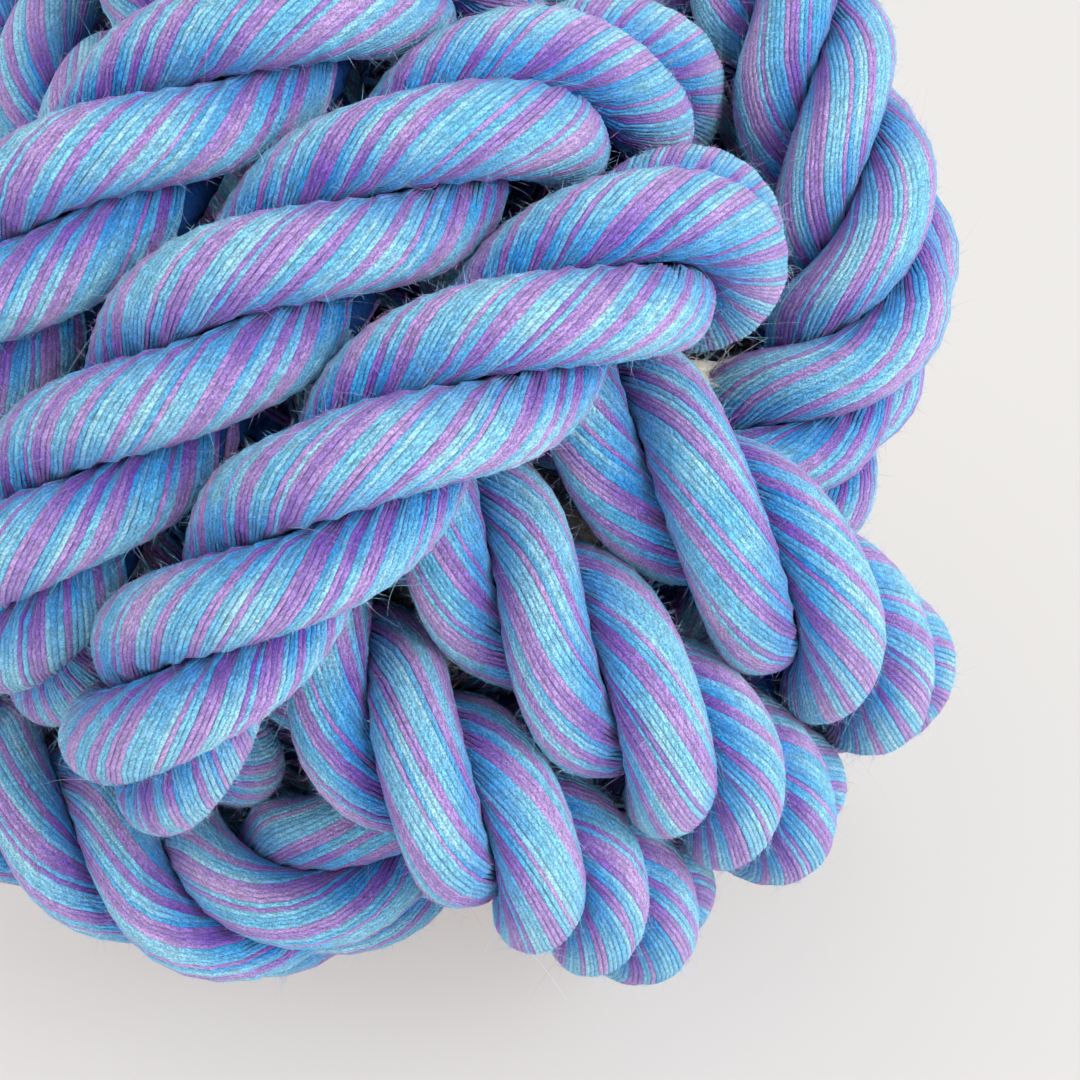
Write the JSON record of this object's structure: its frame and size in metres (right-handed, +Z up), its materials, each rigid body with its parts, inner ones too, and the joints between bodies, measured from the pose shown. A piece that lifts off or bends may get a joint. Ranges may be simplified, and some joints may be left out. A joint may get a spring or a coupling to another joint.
{
  "type": "rope dog toy",
  "caption": "Chew and throw ball for a dog, tied as a monkey's fist from soft laid cotton rope in blue and purple, with its ends tucked inside.",
  "frame": {"origin": "on the floor, under the middle of the ball's bounding box", "axes": "+Z up from the floor that the ball rests on, -Y towards the front, where the band of rope that faces the viewer is, +X to the right"},
  "size_m": [0.121, 0.1156, 0.1143],
  "materials": {
    "dyed_cotton": "soft, fuzzy yarns in sky blue and orchid purple",
    "undyed_cotton": "loose cream cotton",
    "twine": "thin white twine"
  },
  "bodies": {
    "root": {"strand_1": "dyed_cotton", "strand_2": "dyed_cotton", "strand_3": "dyed_cotton", "core_ball": "undyed_cotton", "start_whipping": "twine", "end_whipping": "twine"}
  },
  "joints": []
}
